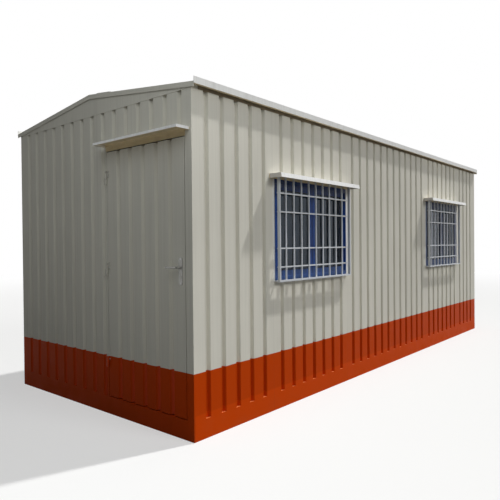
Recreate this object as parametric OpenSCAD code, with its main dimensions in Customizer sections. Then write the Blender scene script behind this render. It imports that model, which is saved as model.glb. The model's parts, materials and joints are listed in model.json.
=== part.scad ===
// Prefabricated site office: a cabin of ribbed steel sheet on a channel base,
// with a door in one gable and two barred windows in a long wall.
// X runs across the cabin, Y along it and Z up, in millimetres.
// The origin is the middle of the footprint, on the ground.

/* [Cabin] */
// Length over the crowns of the end sheets
cabin_l = 6096; // [5700:1:6800]
// Width over the crowns of the side sheets
cabin_w = 2438; // [2380:1:3000]
// Height of the wall sheets' top above the ground
wall_top = 2440; // [2360:1:2700]
// Side of the square corner posts, which is also the full wall thickness
post_w = 63; // [56:1:80]
// Steel thickness of the corner posts and the door frame's head
post_wall = 4; // [3:1:6]
// Thickness of the board that lines the room
lining_t = 9; // [6:1:15]
// Distance of the ceiling's underside below the wall sheets' top
ceiling_drop = 40; // [20:1:120]

/* [Ribbed sheet] */
// Distance between grooves on the long walls
groove_pitch = 160; // [130:1:190]
// Distance between grooves on the end walls and the door
gable_groove_pitch = 154; // [130:1:190]
// Width of a groove at the crowns
groove_mouth = 50; // [36:1:60]
// Width of a groove at its floor
groove_floor = 26; // [12:1:30]
// Depth of a groove
groove_d = 24; // [12:1:30]
// Distance across the wide crown at a joint of two sheets, groove to groove
joint_crown = 236; // [200:1:260]
// Least distance from a corner to a groove of the long walls
corner_margin = 137; // [110:1:150]
// Distance from the gable's left corner to its first groove
gable_left_margin = 161; // [110:1:180]
// Distance from the gable's right corner to its last groove
gable_right_margin = 121; // [110:1:180]
// Width of the sheet between the door gable's corner and the first window
near_sheet = 898; // [700:1:1100]
// Width of the sheet between the second window and the back corner
far_sheet = 810; // [600:1:1100]

/* [Base] */
// Height of the base channels
rail_h = 140; // [100:1:180]
// Flange width of the base channels
rail_flange = 75; // [66:1:90]
// Steel thickness of the base channels
rail_t = 6; // [4:1:9]
// Number of floor joists, an odd number so that one lies in the middle
joist_count = 9; // [5:2:13]
// Flange width of a floor joist
joist_w = 50; // [40:1:80]
// Thickness of the floor board
floor_t = 18; // [12:1:25]

/* [Roof] */
// Slope of the roof in degrees
roof_pitch = 6.7; // [4:0.1:12]
// Height of the roof's underside over the wall sheets, at the crowns of the long walls
roof_heel = 32; // [30:1:80]
// Reach of the roof past the long walls
eave_reach = 42; // [30:1:80]
// Reach of the roof past the end walls
verge_reach = 12; // [10:1:60]
// Thickness of the roof sheet between its ribs
roof_sheet_t = 3; // [2:1:6]
// Height of the roof ribs over the sheet's underside
roof_rib_h = 36; // [20:1:45]
// Width of a roof rib at its foot
roof_rib_foot = 60; // [44:1:70]
// Width of a roof rib at its top
roof_rib_top = 28; // [14:1:36]
// Distance between roof ribs
roof_rib_pitch = 250; // [180:1:300]
// Least distance from an end wall to the middle of the first roof rib
roof_end_margin = 130; // [125:1:180]
// Clearance between the roof ribs and the trims that lie on them
lap_gap = 0.2; // [0.1:0.1:0.6]
// Thickness of the folded roof trims
trim_t = 3; // [2:1:5]
// Distance of the eave trim's foot below the roof's underside
eave_drop = 7; // [5:1:30]
// Width of the eave trim's turned-in lower lip
eave_lip = 22; // [12:1:26]
// Height of the verge trim's face
verge_face = 36; // [26:1:70]
// Width of the flanges of the ridge cap and eave trims on the roof
trim_cover = 90; // [70:1:140]
// Height by which the grooves run up behind the gable plate
plate_lap = 26; // [15:1:28]

/* [Door] */
// Width of the door leaf
door_w = 914; // [800:1:1000]
// Distance of the leaf's head below the wall sheets' top
over_door = 325; // [240:1:420]
// Distance from the leaf's edges to its first and last groove
door_margin = 145; // [120:1:160]
// Thickness of the door leaf
door_t = 38; // [34:1:42]
// Gap between the leaf and its frame
door_gap = 7; // [6:1:9]
// Gap under the leaf
door_sill_gap = 8; // [6:1:20]
// Steel thickness of the door frame
frame_t = 6; // [4:1:8]
// Height of the door frame's head
door_head_h = 30; // [20:1:60]
// Width of the frame's stop behind the leaf
stop_w = 22; // [16:1:26]
// Gap between the leaf and the stop
stop_gap = 6; // [5:1:8]

/* [Hinges and lock] */
// Radius of a hinge barrel
barrel_r = 9; // [8:1:11]
// Radius of the hinge pins
pin_r = 4; // [3:0.5:5]
// Clearance around the hinge pins
pin_clear = 0.3; // [0.2:0.05:0.5]
// Length of one hinge half
hinge_half = 55; // [40:1:70]
// Width of a hinge flag
hinge_flag = 28; // [24:1:46]
// Distance of the hinge barrels from the crowns
barrel_stand = 1; // [1:0.5:3]
// Thickness of a hinge flag
hinge_flag_t = 4; // [3:1:5]
// Height of the lowest hinge above the leaf's foot
hinge_low = 290; // [200:1:400]
// Distance of the top hinge below the leaf's head
hinge_high = 205; // [150:1:300]
// Width of the lock plates
lock_w = 40; // [34:1:46]
// Height of the lock plates
lock_h = 200; // [160:1:240]
// Height of the lock's middle above the ground
lock_z = 1180; // [1000:1:1250]
// Distance from the leaf's edge to the lock's middle
lock_inset = 45; // [40:1:60]
// Length of the lever handles
lever_l = 110; // [90:1:130]

/* [Windows] */
// Number of grooves that a window takes up
window_grooves = 7; // [6:1:8]
// Height of the window opening's foot
window_z = 1058; // [950:1:1150]
// Height of the window opening
window_h = 842; // [700:1:880]
// Width of the window frame's face
window_face = 38; // [30:1:45]
// Width of the leaf frames
sash_face = 46; // [34:1:56]
// Thickness of a leaf
sash_t = 22; // [16:1:28]
// Distance of the leaves behind the frame's face
sash_inset = 10; // [6:1:20]
// Gap where the two leaves meet
sash_gap = 2; // [1:0.5:4]
// Thickness of the glass
glass_t = 5; // [3:1:6]

/* [Window grilles] */
// Distance of the grille's sides inside the window frame's sides
grille_inset = 22; // [0:1:30]
// Distance of the grille's head above the opening's head, inside the canopy
grille_rise = 30; // [0:1:32]
// Distance of the grille's foot below the opening's foot
grille_drop = 6; // [0:1:12]
// Distance of the grille's face from the wall
grille_stand = 55; // [50:1:90]
// Width of the grille's outer bars
grille_edge = 14; // [10:1:18]
// Depth of the grille's outer bars
grille_edge_d = 24; // [16:1:36]
// Depth by which the bars are let into the backs of the outer bars
grille_let_in = 2; // [1:0.5:6]
// Side of the upright bars
grille_bar = 12; // [8:1:14]
// Number of upright bars between the sides
grille_uprights = 9; // [7:1:11]
// Height of the cross bars
grille_cross = 12; // [8:1:16]
// Distance of the outer cross bars from the opening's foot and head
cross_outer = 116; // [90:1:150]
// Distance of the inner cross bars from the opening's foot and head
cross_inner = 270; // [220:1:320]

/* [Canopies] */
// Thickness of the folded canopy sheet
canopy_t = 3; // [2:1:4]
// Lean of the canopies' fronts, as a share of their height
canopy_lean = 0.15; // [0:0.05:1]
// Distance by which a window canopy runs past each side of the opening
window_canopy_lap = 40; // [20:1:80]
// Reach of a window canopy from the wall
window_canopy_reach = 124; // [90:1:150]
// Height of a window canopy's sloping front
window_canopy_nose = 36; // [34:1:44]
// Height of a window canopy's underside over the opening
window_canopy_rise = 0; // [0:1:30]
// Distance by which the door canopy runs past the leaf on the hinge side
door_canopy_hinge_lap = 20; // [10:1:60]
// Distance by which the door canopy runs past the leaf on the lock side
door_canopy_lock_lap = 56; // [10:1:70]
// Reach of the door canopy from the wall
door_canopy_reach = 120; // [90:1:160]
// Height of the door canopy's sloping front
door_canopy_nose = 20; // [14:1:30]
// Height of the door canopy's underside over the frame
door_canopy_rise = 3; // [2:1:30]

/* [Hidden] */
$fn = 48;

// Colours as they show on the cabin
wall_cream = [0.80, 0.79, 0.74];
base_orange = [0.66, 0.22, 0.04];
trim_white = [0.90, 0.89, 0.85];
frame_blue = [0.08, 0.18, 0.50];
glass_grey = [0.30, 0.36, 0.40];
board_pale = [0.82, 0.78, 0.68];
floor_brown = [0.52, 0.42, 0.32];
steel_grey = [0.55, 0.55, 0.56];
primer_tan = [0.51, 0.42, 0.34];

// Planes of the shell
half_w = cabin_w / 2;
half_l = cabin_l / 2;
panel_t = post_w - lining_t;
room_x = half_w - post_w;
room_y = half_l - post_w;
ceiling_t = lining_t;
ceiling_z = wall_top - ceiling_drop;
post_top = wall_top + plate_lap;
overlap = 1;

// Heights on the roof: line(x, n) lies n above the roof's underside, measured square to the slope
ridge_z = wall_top + roof_heel + half_w * tan(roof_pitch);
function line(x, n) = ridge_z - abs(x) * tan(roof_pitch) + n / cos(roof_pitch);
trim_seat = roof_rib_h + lap_gap;
trim_top = trim_seat + trim_t;
verge_seat = roof_sheet_t + lap_gap;
verge_top = verge_seat + trim_t;
eave_x = half_w + eave_reach;
verge_y = half_l + verge_reach;
eave_foot = line(eave_x, 0) - eave_drop;
ridge_cap_w = 2 * trim_cover;
flange_end = half_l - roof_end_margin + roof_rib_foot;

// Doorway, hung at the right-hand corner post
jamb_right = room_x - frame_t;
jamb_left = jamb_right - door_w - 2 * door_gap;
leaf_left = jamb_left + door_gap;
leaf_right = jamb_right - door_gap;
leaf_foot = rail_h + door_sill_gap;
leaf_head = wall_top - over_door;
head_z = leaf_head + door_gap;
frame_top = head_z + door_head_h;
stop_y = -half_l + door_t + stop_gap;

// Hinge line, in the gap beside the leaf and just proud of the crowns
hinge_x = jamb_left + door_gap / 2;
hinge_y = -half_l - barrel_r - barrel_stand;
hinge_heights = [
    leaf_foot + hinge_low,
    (leaf_foot + hinge_low + leaf_head - hinge_high) / 2,
    leaf_head - hinge_high
];
lock_x = leaf_right - lock_inset;
lock_plate_t = 4;
lever_r = 8;
lever_rose_r = 11;
lever_rose_l = 20;
lever_stand = 42;
lever_rise = 25;
keyhole_drop = 40;
keyhole_l = 8;

// Window bays, each between two sheet joints
bay_w = (window_grooves - 1) * groove_pitch + joint_crown;
bay_1 = -half_l + near_sheet;
bay_2 = half_l - far_sheet - bay_w;
window_1_y = bay_1 + bay_w / 2;
window_2_y = bay_2 + bay_w / 2;
window_top = window_z + window_h;
sash_w = (bay_w - 2 * window_face - sash_gap) / 2;
sash_h = window_h - 2 * window_face;
grille_w = bay_w - 2 * grille_inset;
grille_h = window_h + grille_drop + grille_rise;
window_canopy_w = bay_w + 2 * window_canopy_lap;
window_canopy_z = window_top + window_canopy_rise + window_canopy_nose;
door_canopy_z = frame_top + door_canopy_rise + door_canopy_nose;
door_canopy_w = door_w + door_canopy_hinge_lap + door_canopy_lock_lap;
door_canopy_x = leaf_left - door_canopy_hinge_lap + door_canopy_w / 2;

// Number of grooves that fit into a length, and a row of grooves from its first place
function groove_count(room, pitch) = max(0, floor(room / pitch + 0.1) + 1);
function groove_row(first, count, pitch) = [for (i = [0 : 1 : count - 1]) first + i * pitch];

// Grooves of one pitch centred between two margins
function centred_grooves(from, to, pitch) =
    let (count = groove_count(to - from, pitch))
    groove_row((from + to - (count - 1) * pitch) / 2, count, pitch);

// Long walls: each end sheet is set out from its joint towards the corner
half_joint = joint_crown / 2;
near_count = groove_count(near_sheet - half_joint - corner_margin, groove_pitch);
far_count = groove_count(far_sheet - half_joint - corner_margin, groove_pitch);
near_first = bay_1 - half_joint - (near_count - 1) * groove_pitch;
long_grooves = concat(
    groove_row(near_first, near_count, groove_pitch),
    groove_row(bay_1 + half_joint, window_grooves, groove_pitch),
    centred_grooves(bay_1 + bay_w + half_joint, bay_2 - half_joint, groove_pitch),
    groove_row(bay_2 + half_joint, window_grooves, groove_pitch),
    groove_row(bay_2 + bay_w + half_joint, far_count, groove_pitch)
);
gable_grooves = centred_grooves(-half_w + gable_left_margin, half_w - gable_right_margin, gable_groove_pitch);
door_grooves = centred_grooves(leaf_left + door_margin, leaf_right - door_margin, gable_groove_pitch);

// Grooves that lie whole between two edges
function between(list, from, to) =
    [for (g = list) if (g - groove_mouth / 2 > from && g + groove_mouth / 2 < to) g];

// Carriers: each draws its children as on a wall that faces the viewer,
// with X along the wall, Y into the wall from the crowns and Z up
module on_gable() {
    translate([0, -half_l, 0])
        children();
}

module on_back() {
    mirror([0, 1, 0])
        on_gable()
            children();
}

module on_right_wall() {
    translate([half_w, 0, 0])
        rotate([0, 0, 90])
            children();
}

module on_left_wall() {
    mirror([1, 0, 0])
        on_right_wall()
            children();
}

// Wall panel with grooves in its outer face and a flat back
module ribbed_panel(from, to, foot, head, groove_list, depth = panel_t) {
    whole = between(groove_list, from, to);
    groove = [[-groove_mouth, 0], [-groove_floor, groove_d], [groove_floor, groove_d], [groove_mouth, 0]];
    face = [for (g = whole, p = groove) [g + p[0] / 2, p[1]]];
    translate([0, 0, foot])
        linear_extrude(head - foot)
            polygon(concat([[from, 0]], face, [[to, 0], [to, depth], [from, depth]]));
}

// Flat board behind a panel
module lining(from, to, foot, head) {
    translate([from, panel_t, foot])
        cube([to - from, lining_t, head - foot]);
}

// Steel channel along X with its web at the front
module channel(length, flange) {
    rotate([90, 0, 90])
        linear_extrude(length, center = true)
            polygon([
                [0, 0], [flange, 0], [flange, rail_t], [rail_t, rail_t],
                [rail_t, rail_h - rail_t], [flange, rail_h - rail_t], [flange, rail_h], [0, rail_h]
            ]);
}

module base_side_rails() {
    between_webs = cabin_l - 2 * rail_t;
    color(base_orange) {
        on_right_wall()
            channel(between_webs, rail_flange);
        on_left_wall()
            channel(between_webs, rail_flange);
    }
}

// End channel whose web runs on to the corners and closes the side channels
module end_rail() {
    channel(cabin_w - 2 * rail_flange, rail_flange);
    translate([-half_w, 0, 0])
        cube([cabin_w, rail_t, rail_h]);
}

module base_end_rails() {
    color(base_orange) {
        on_gable()
            end_rail();
        on_back()
            end_rail();
    }
}

module floor_joists() {
    span = cabin_l - 2 * rail_flange;
    step = span / (joist_count + 1);
    color(primer_tan)
        for (i = [1 : joist_count])
            translate([0, -span / 2 + i * step - joist_w / 2, 0])
                channel(cabin_w - 2 * rail_flange, joist_w);
}

module floor_board() {
    color(floor_brown)
        translate([-room_x, -room_y, rail_h])
            cube([2 * room_x, 2 * room_y, floor_t]);
}

// Cross-section of a rectangular steel tube
module tube_outline(depth, height) {
    difference() {
        square([depth, height]);
        translate([post_wall, post_wall])
            square([depth - 2 * post_wall, height - 2 * post_wall]);
    }
}

module corner_posts() {
    color(wall_cream)
        for (x = [-half_w, room_x], y = [-half_l, room_y])
            translate([x, y, rail_h])
                linear_extrude(post_top - rail_h)
                    tube_outline(post_w, post_w);
}

module right_wall_near_end() {
    color(wall_cream)
        on_right_wall()
            ribbed_panel(-room_y, bay_1, rail_h, wall_top, long_grooves);
}

module right_wall_middle() {
    color(wall_cream)
        on_right_wall()
            ribbed_panel(bay_1 + bay_w, bay_2, rail_h, wall_top, long_grooves);
}

module right_wall_far_end() {
    color(wall_cream)
        on_right_wall()
            ribbed_panel(bay_2 + bay_w, room_y, rail_h, wall_top, long_grooves);
}

// Sheet under and over a window
module wall_at_window(bay) {
    color(wall_cream)
        on_right_wall() {
            ribbed_panel(bay, bay + bay_w, rail_h, window_z, long_grooves);
            ribbed_panel(bay, bay + bay_w, window_top, wall_top, long_grooves);
        }
}

module right_wall_at_window_1() {
    wall_at_window(bay_1);
}

module right_wall_at_window_2() {
    wall_at_window(bay_2);
}

module left_wall() {
    color(wall_cream)
        on_left_wall()
            ribbed_panel(-room_y, room_y, rail_h, wall_top, long_grooves);
}

module gable_wall_beside_door() {
    color(wall_cream)
        on_gable()
            ribbed_panel(-room_x, jamb_left - frame_t, rail_h, post_top, gable_grooves);
}

module gable_wall_over_door() {
    color(wall_cream)
        on_gable()
            ribbed_panel(jamb_left - frame_t, room_x, frame_top, post_top, gable_grooves);
}

module back_wall() {
    color(wall_cream)
        on_back()
            ribbed_panel(-room_x, room_x, rail_h, post_top, gable_grooves);
}

// Outline of the gable from a level foot up to the roof's underside
module gable_outline(foot) {
    eave_z = line(half_w, 0);
    polygon([[-half_w, foot], [half_w, foot], [half_w, eave_z], [0, ridge_z], [-half_w, eave_z]]);
}

// Flat plate over the groove ends, on the framing that carries the roof sheets
module gable_infill() {
    rotate([90, 0, 0])
        linear_extrude(trim_t)
            gable_outline(wall_top);
    translate([0, panel_t, 0])
        rotate([90, 0, 0])
            linear_extrude(panel_t)
                gable_outline(post_top);
}

module gable_plate() {
    color(wall_cream)
        on_gable()
            gable_infill();
}

module back_gable_plate() {
    color(wall_cream)
        on_back()
            gable_infill();
}

module right_lining() {
    color(board_pale)
        on_right_wall()
            difference() {
                lining(-room_y, room_y, rail_h, ceiling_z + ceiling_t);
                for (y = [bay_1, bay_2])
                    translate([y, panel_t - overlap, window_z])
                        cube([bay_w, lining_t + 2 * overlap, window_h]);
            }
}

module left_lining() {
    color(board_pale)
        on_left_wall()
            lining(-room_y, room_y, rail_h, ceiling_z + ceiling_t);
}

module gable_lining_beside_door() {
    color(board_pale)
        on_gable()
            lining(-room_x, jamb_left - frame_t, rail_h, ceiling_z + ceiling_t);
}

module gable_lining_over_door() {
    color(board_pale)
        on_gable()
            lining(jamb_left - frame_t, room_x, frame_top, ceiling_z + ceiling_t);
}

module back_lining() {
    color(board_pale)
        on_back()
            lining(-room_x, room_x, rail_h, ceiling_z + ceiling_t);
}

module ceiling() {
    color(board_pale)
        translate([-room_x, -room_y, ceiling_z])
            cube([2 * room_x, 2 * room_y, ceiling_t]);
}

// Extrudes an outline of the cabin's cross-section along the cabin
module along_cabin(from, to) {
    translate([0, to, 0])
        rotate([90, 0, 0])
            linear_extrude(to - from)
                children();
}

module eave_rails() {
    inner = half_w - panel_t;
    color(primer_tan)
        along_cabin(-room_y, room_y)
            for (side = [0, 1])
                mirror([side, 0])
                    polygon([
                        [inner, wall_top], [half_w, wall_top],
                        [half_w, line(half_w, 0)], [inner, line(inner, 0)]
                    ]);
}

// Roof sheet of one slope, with its ribs running down from the ridge
module roof_sheet() {
    sheet_end = verge_y - trim_t;
    slope_l = (eave_x - trim_t - lap_gap - roof_rib_h * sin(roof_pitch)) / cos(roof_pitch);
    ribs = centred_grooves(-half_l + roof_end_margin, half_l - roof_end_margin, roof_rib_pitch);
    rib = [
        [-roof_rib_foot, roof_sheet_t], [-roof_rib_top, roof_rib_h],
        [roof_rib_top, roof_rib_h], [roof_rib_foot, roof_sheet_t]
    ];
    top = [for (r = ribs, p = rib) [r + p[0] / 2, p[1]]];
    translate([0, 0, ridge_z])
        rotate([0, roof_pitch, 0])
            rotate([90, 0, 90])
                linear_extrude(slope_l)
                    polygon(concat(
                        [[-sheet_end, 0], [-sheet_end, roof_sheet_t]],
                        top,
                        [[sheet_end, roof_sheet_t], [sheet_end, 0]]
                    ));
}

module roof_sheet_right() {
    color(trim_white)
        roof_sheet();
}

module roof_sheet_left() {
    color(trim_white)
        mirror([1, 0, 0])
            roof_sheet();
}

// Band that follows both slopes out to a reach, between two heights over the roof's underside
module slope_band(reach, low, high) {
    polygon([
        [-reach, line(reach, low)], [0, line(0, low)], [reach, line(reach, low)],
        [reach, line(reach, high)], [0, line(0, high)], [-reach, line(reach, high)]
    ]);
}

module ridge_cap() {
    color(trim_white)
        along_cabin(-flange_end, flange_end)
            slope_band(ridge_cap_w, trim_seat, trim_top);
}

// Folded trim at one eave: flange on the ribs, upright face and a lip that turns in between the verge trims
module eave_trim() {
    lip_end = verge_y - trim_t;
    flange_from = eave_x - trim_cover;
    inside = eave_x - trim_t;
    along_cabin(-flange_end, flange_end)
        polygon([
            [flange_from, line(flange_from, trim_seat)], [eave_x, line(eave_x, trim_seat)],
            [eave_x, line(eave_x, trim_top)], [flange_from, line(flange_from, trim_top)]
        ]);
    along_cabin(-verge_y, verge_y)
        polygon([
            [eave_x, line(eave_x, trim_top)], [inside, line(inside, trim_top)],
            [inside, eave_foot], [eave_x, eave_foot]
        ]);
    along_cabin(-lip_end, lip_end)
        translate([inside - eave_lip, eave_foot])
            square([eave_lip + overlap, trim_t]);
}

module eave_trim_right() {
    color(trim_white)
        eave_trim();
}

module eave_trim_left() {
    color(trim_white)
        mirror([1, 0, 0])
            eave_trim();
}

// Folded trim at one gable: face over the sheet ends and flange on the flat beside the first rib
module verge_trim() {
    reach = eave_x - trim_t;
    face_low = verge_top - verge_face * cos(roof_pitch);
    along_cabin(-verge_y, -verge_y + trim_t)
        slope_band(reach, face_low, verge_top);
    along_cabin(-verge_y, -flange_end)
        slope_band(reach, verge_seat, verge_top);
}

module verge_trim_front() {
    color(trim_white)
        verge_trim();
}

module verge_trim_back() {
    color(trim_white)
        mirror([0, 1, 0])
            verge_trim();
}

// Upright frame of a given size, drawn on a wall from its lower left corner, with its depth along Y
module upright_frame(size, face) {
    difference() {
        cube(size);
        translate([face, -overlap, face])
            cube([size[0] - 2 * face, size[1] + 2 * overlap, size[2] - 2 * face]);
    }
}

module window_frame(bay) {
    color(frame_blue)
        on_right_wall()
            translate([bay, 0, window_z])
                upright_frame([bay_w, post_w, window_h], window_face);
}

// Starts of a window's two leaves along the wall
function sash_places(bay) = [bay + window_face, bay + window_face + sash_w + sash_gap];

module window_sashes(bay) {
    color(frame_blue)
        on_right_wall()
            for (place = sash_places(bay))
                translate([place, sash_inset, window_z + window_face])
                    upright_frame([sash_w, sash_t, sash_h], sash_face);
}

module window_glass(bay) {
    color(glass_grey)
        on_right_wall()
            for (place = sash_places(bay))
                translate([
                    place + sash_face,
                    sash_inset + (sash_t - glass_t) / 2,
                    window_z + window_face + sash_face
                ])
                    cube([sash_w - 2 * sash_face, glass_t, sash_h - 2 * sash_face]);
}

module window_frame_1() {
    window_frame(bay_1);
}

module window_frame_2() {
    window_frame(bay_2);
}

module window_sashes_1() {
    window_sashes(bay_1);
}

module window_sashes_2() {
    window_sashes(bay_2);
}

module window_glass_1() {
    window_glass(bay_1);
}

module window_glass_2() {
    window_glass(bay_2);
}

// Welded grille in front of a window: outer bars on four legs, with the other bars let into their backs.
// The upper legs end on the canopy's back flange, the lower ones on the wall
module window_grille(middle) {
    upright_step = (grille_w - grille_edge) / (grille_uprights + 1);
    crosses = [cross_outer, cross_inner, window_h - cross_inner, window_h - cross_outer];
    bar_y = grille_edge_d - grille_let_in;
    color(trim_white)
        on_right_wall()
            translate([middle - grille_w / 2, -grille_stand, window_z - grille_drop]) {
                upright_frame([grille_w, grille_edge_d, grille_h], grille_edge);
                for (x = [0, grille_w - grille_edge]) {
                    translate([x, 0, 0])
                        cube([grille_edge, grille_stand, grille_edge]);
                    translate([x, 0, grille_h - grille_edge])
                        cube([grille_edge, grille_stand - canopy_t, grille_edge]);
                }
                for (i = [1 : grille_uprights])
                    translate([i * upright_step + (grille_edge - grille_bar) / 2, bar_y, grille_edge / 2])
                        cube([grille_bar, grille_bar, grille_h - grille_edge]);
                for (z = crosses)
                    translate([grille_edge / 2, bar_y, z + grille_drop - grille_cross / 2])
                        cube([grille_w - grille_edge, grille_bar, grille_cross]);
            }
}

module window_grille_1() {
    window_grille(window_1_y);
}

module window_grille_2() {
    window_grille(window_2_y);
}

// Folded rain canopy, open below: back flange, level top, sloping nose and two cheeks
module canopy(middle, width, reach, nose, top) {
    run = nose * canopy_lean;
    wall = canopy_t * sqrt(1 + canopy_lean * canopy_lean);
    translate([middle, 0, 0])
        rotate([90, 0, -90])
            difference() {
                linear_extrude(width, center = true)
                    polygon([[0, top - nose], [0, top], [reach - run, top], [reach, top - nose]]);
                linear_extrude(width - 2 * canopy_t, center = true)
                    polygon([
                        [canopy_t, top - nose - overlap],
                        [canopy_t, top - canopy_t],
                        [reach - run + canopy_t * canopy_lean - wall, top - canopy_t],
                        [reach + overlap * canopy_lean - wall, top - nose - overlap]
                    ]);
            }
}

module window_canopy(middle) {
    color(trim_white)
        on_right_wall()
            canopy(middle, window_canopy_w, window_canopy_reach, window_canopy_nose, window_canopy_z);
}

module window_canopy_1() {
    window_canopy(window_1_y);
}

module window_canopy_2() {
    window_canopy(window_2_y);
}

module door_canopy() {
    color(trim_white)
        on_gable()
            canopy(door_canopy_x, door_canopy_w, door_canopy_reach, door_canopy_nose, door_canopy_z);
}

// Angle-iron jamb: one leg lines the opening, the other is the stop behind the leaf
module jamb() {
    translate([0, 0, rail_h])
        linear_extrude(head_z - rail_h) {
            translate([-frame_t, 0])
                square([frame_t, post_w]);
            translate([-overlap, stop_y + half_l])
                square([stop_w + overlap, frame_t]);
        }
}

module door_jamb_hinge_side() {
    color(wall_cream)
        on_gable()
            translate([jamb_left, 0, 0])
                jamb();
}

module door_jamb_lock_side() {
    color(wall_cream)
        on_gable()
            translate([jamb_right, 0, 0])
                mirror([1, 0, 0])
                    jamb();
}

module door_head() {
    stop_from = jamb_left + stop_w;
    stop_to = jamb_right - stop_w;
    color(primer_tan)
        on_gable() {
            translate([jamb_left - frame_t, 0, head_z])
                rotate([90, 0, 90])
                    linear_extrude(jamb_right - jamb_left + 2 * frame_t)
                        tube_outline(post_w, door_head_h);
            translate([stop_from, stop_y + half_l, head_z - stop_w])
                cube([stop_to - stop_from, frame_t, stop_w + overlap]);
        }
}

// Flag and barrel of one hinge half, from its height upwards; side is -1 on the frame and 1 on the leaf
module hinge_half_piece(height, side) {
    flag_from = side < 0 ? -door_gap / 2 - hinge_flag : door_gap / 2;
    translate([hinge_x, hinge_y, height])
        cylinder(r = barrel_r, h = hinge_half);
    translate([hinge_x + flag_from, -half_l - hinge_flag_t, height])
        cube([hinge_flag, hinge_flag_t, hinge_half]);
    translate([hinge_x + min(0, flag_from + hinge_flag), -half_l - hinge_flag_t, height])
        cube([door_gap / 2, hinge_flag_t - barrel_stand, hinge_half]);
}

module hinge_pins() {
    color(steel_grey)
        for (z = hinge_heights) {
            hinge_half_piece(z - hinge_half - pin_clear, -1);
            translate([hinge_x, hinge_y, z - hinge_half])
                cylinder(r = pin_r, h = 2 * hinge_half);
        }
}

module hinge_sleeves() {
    color(steel_grey)
        for (z = hinge_heights)
            difference() {
                hinge_half_piece(z + pin_clear, 1);
                translate([hinge_x, hinge_y, z - overlap])
                    cylinder(r = pin_r + pin_clear, h = hinge_half + 2 * overlap + pin_clear);
            }
}

module door_leaf() {
    color(wall_cream)
        on_gable()
            ribbed_panel(leaf_left, leaf_right, leaf_foot, leaf_head, door_grooves, door_t);
}

// Lock furniture on one face of the leaf: plate with rounded ends, rose, lever and keyhole
module lock_set() {
    end_r = lock_w / 2;
    straight = lock_h - lock_w;
    rotate([90, 0, 0]) {
        translate([-end_r, -straight / 2, 0])
            cube([lock_w, straight, lock_plate_t]);
        for (z = [-straight / 2, straight / 2])
            translate([0, z, 0])
                cylinder(r = end_r, h = lock_plate_t);
        translate([0, lever_rise, 0])
            cylinder(r = lever_rose_r, h = lever_rose_l);
        translate([0, lever_rise, 0])
            cylinder(r = lever_r, h = lever_stand);
        translate([0, -keyhole_drop, 0])
            cylinder(r = lever_r, h = keyhole_l);
    }
    translate([0, -lever_stand, lever_rise]) {
        rotate([0, -90, 0])
            cylinder(r = lever_r, h = lever_l);
        for (x = [0, -lever_l])
            translate([x, 0, 0])
                sphere(r = lever_r);
    }
}

module door_lock() {
    color(steel_grey)
        on_gable()
            translate([lock_x, 0, lock_z]) {
                lock_set();
                translate([0, door_t, 0])
                    mirror([0, 1, 0])
                        lock_set();
            }
}

base_side_rails();
base_end_rails();
floor_joists();
floor_board();
corner_posts();
right_wall_near_end();
right_wall_at_window_1();
right_wall_middle();
right_wall_at_window_2();
right_wall_far_end();
left_wall();
gable_wall_beside_door();
gable_wall_over_door();
back_wall();
gable_plate();
back_gable_plate();
right_lining();
left_lining();
gable_lining_beside_door();
gable_lining_over_door();
back_lining();
ceiling();
eave_rails();
roof_sheet_left();
roof_sheet_right();
ridge_cap();
eave_trim_left();
eave_trim_right();
verge_trim_front();
verge_trim_back();
window_frame_1();
window_frame_2();
window_sashes_1();
window_sashes_2();
window_glass_1();
window_glass_2();
window_grille_1();
window_grille_2();
window_canopy_1();
window_canopy_2();
door_canopy();
door_jamb_hinge_side();
door_jamb_lock_side();
door_head();
hinge_pins();
door_leaf();
door_lock();
hinge_sleeves();
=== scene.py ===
# %% [markdown]
# # A site office cabin, dressed in Blender
# The cabin comes from CAD: ribbed steel sheets on a base of channels, a low gabled roof, a hinged door and two
# barred windows. Here it gets its paint and its glass, and the small parts that a fitter adds last: screws, weld
# beads, gaskets and seals. The CAD frame is loaded first and never moved. Every added piece takes its place from
# the boxes of that frame, so the two models can't drift apart.

# %% Load the frame
import json
import math

import bmesh
import bpy
from mathutils import Matrix, Vector


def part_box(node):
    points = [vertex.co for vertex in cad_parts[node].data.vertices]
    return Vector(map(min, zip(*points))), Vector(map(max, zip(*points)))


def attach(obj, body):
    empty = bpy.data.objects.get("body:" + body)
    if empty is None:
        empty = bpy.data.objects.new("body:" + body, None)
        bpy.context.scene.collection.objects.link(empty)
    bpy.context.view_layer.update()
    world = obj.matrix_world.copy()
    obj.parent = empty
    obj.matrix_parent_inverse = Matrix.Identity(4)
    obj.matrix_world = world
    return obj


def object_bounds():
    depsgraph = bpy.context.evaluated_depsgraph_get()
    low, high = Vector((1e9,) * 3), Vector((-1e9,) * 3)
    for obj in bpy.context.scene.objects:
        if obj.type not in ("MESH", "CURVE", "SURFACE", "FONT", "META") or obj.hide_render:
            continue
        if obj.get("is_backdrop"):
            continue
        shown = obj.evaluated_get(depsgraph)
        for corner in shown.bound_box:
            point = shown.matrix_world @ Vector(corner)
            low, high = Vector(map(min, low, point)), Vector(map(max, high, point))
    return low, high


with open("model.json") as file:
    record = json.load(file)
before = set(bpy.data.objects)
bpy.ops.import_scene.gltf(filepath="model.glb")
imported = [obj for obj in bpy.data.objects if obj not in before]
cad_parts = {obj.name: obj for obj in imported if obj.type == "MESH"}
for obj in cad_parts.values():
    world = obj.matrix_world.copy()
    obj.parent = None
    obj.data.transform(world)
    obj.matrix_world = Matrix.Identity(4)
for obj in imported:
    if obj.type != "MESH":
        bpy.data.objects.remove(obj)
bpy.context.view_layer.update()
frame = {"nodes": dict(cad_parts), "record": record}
nodes = frame["nodes"]

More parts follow.
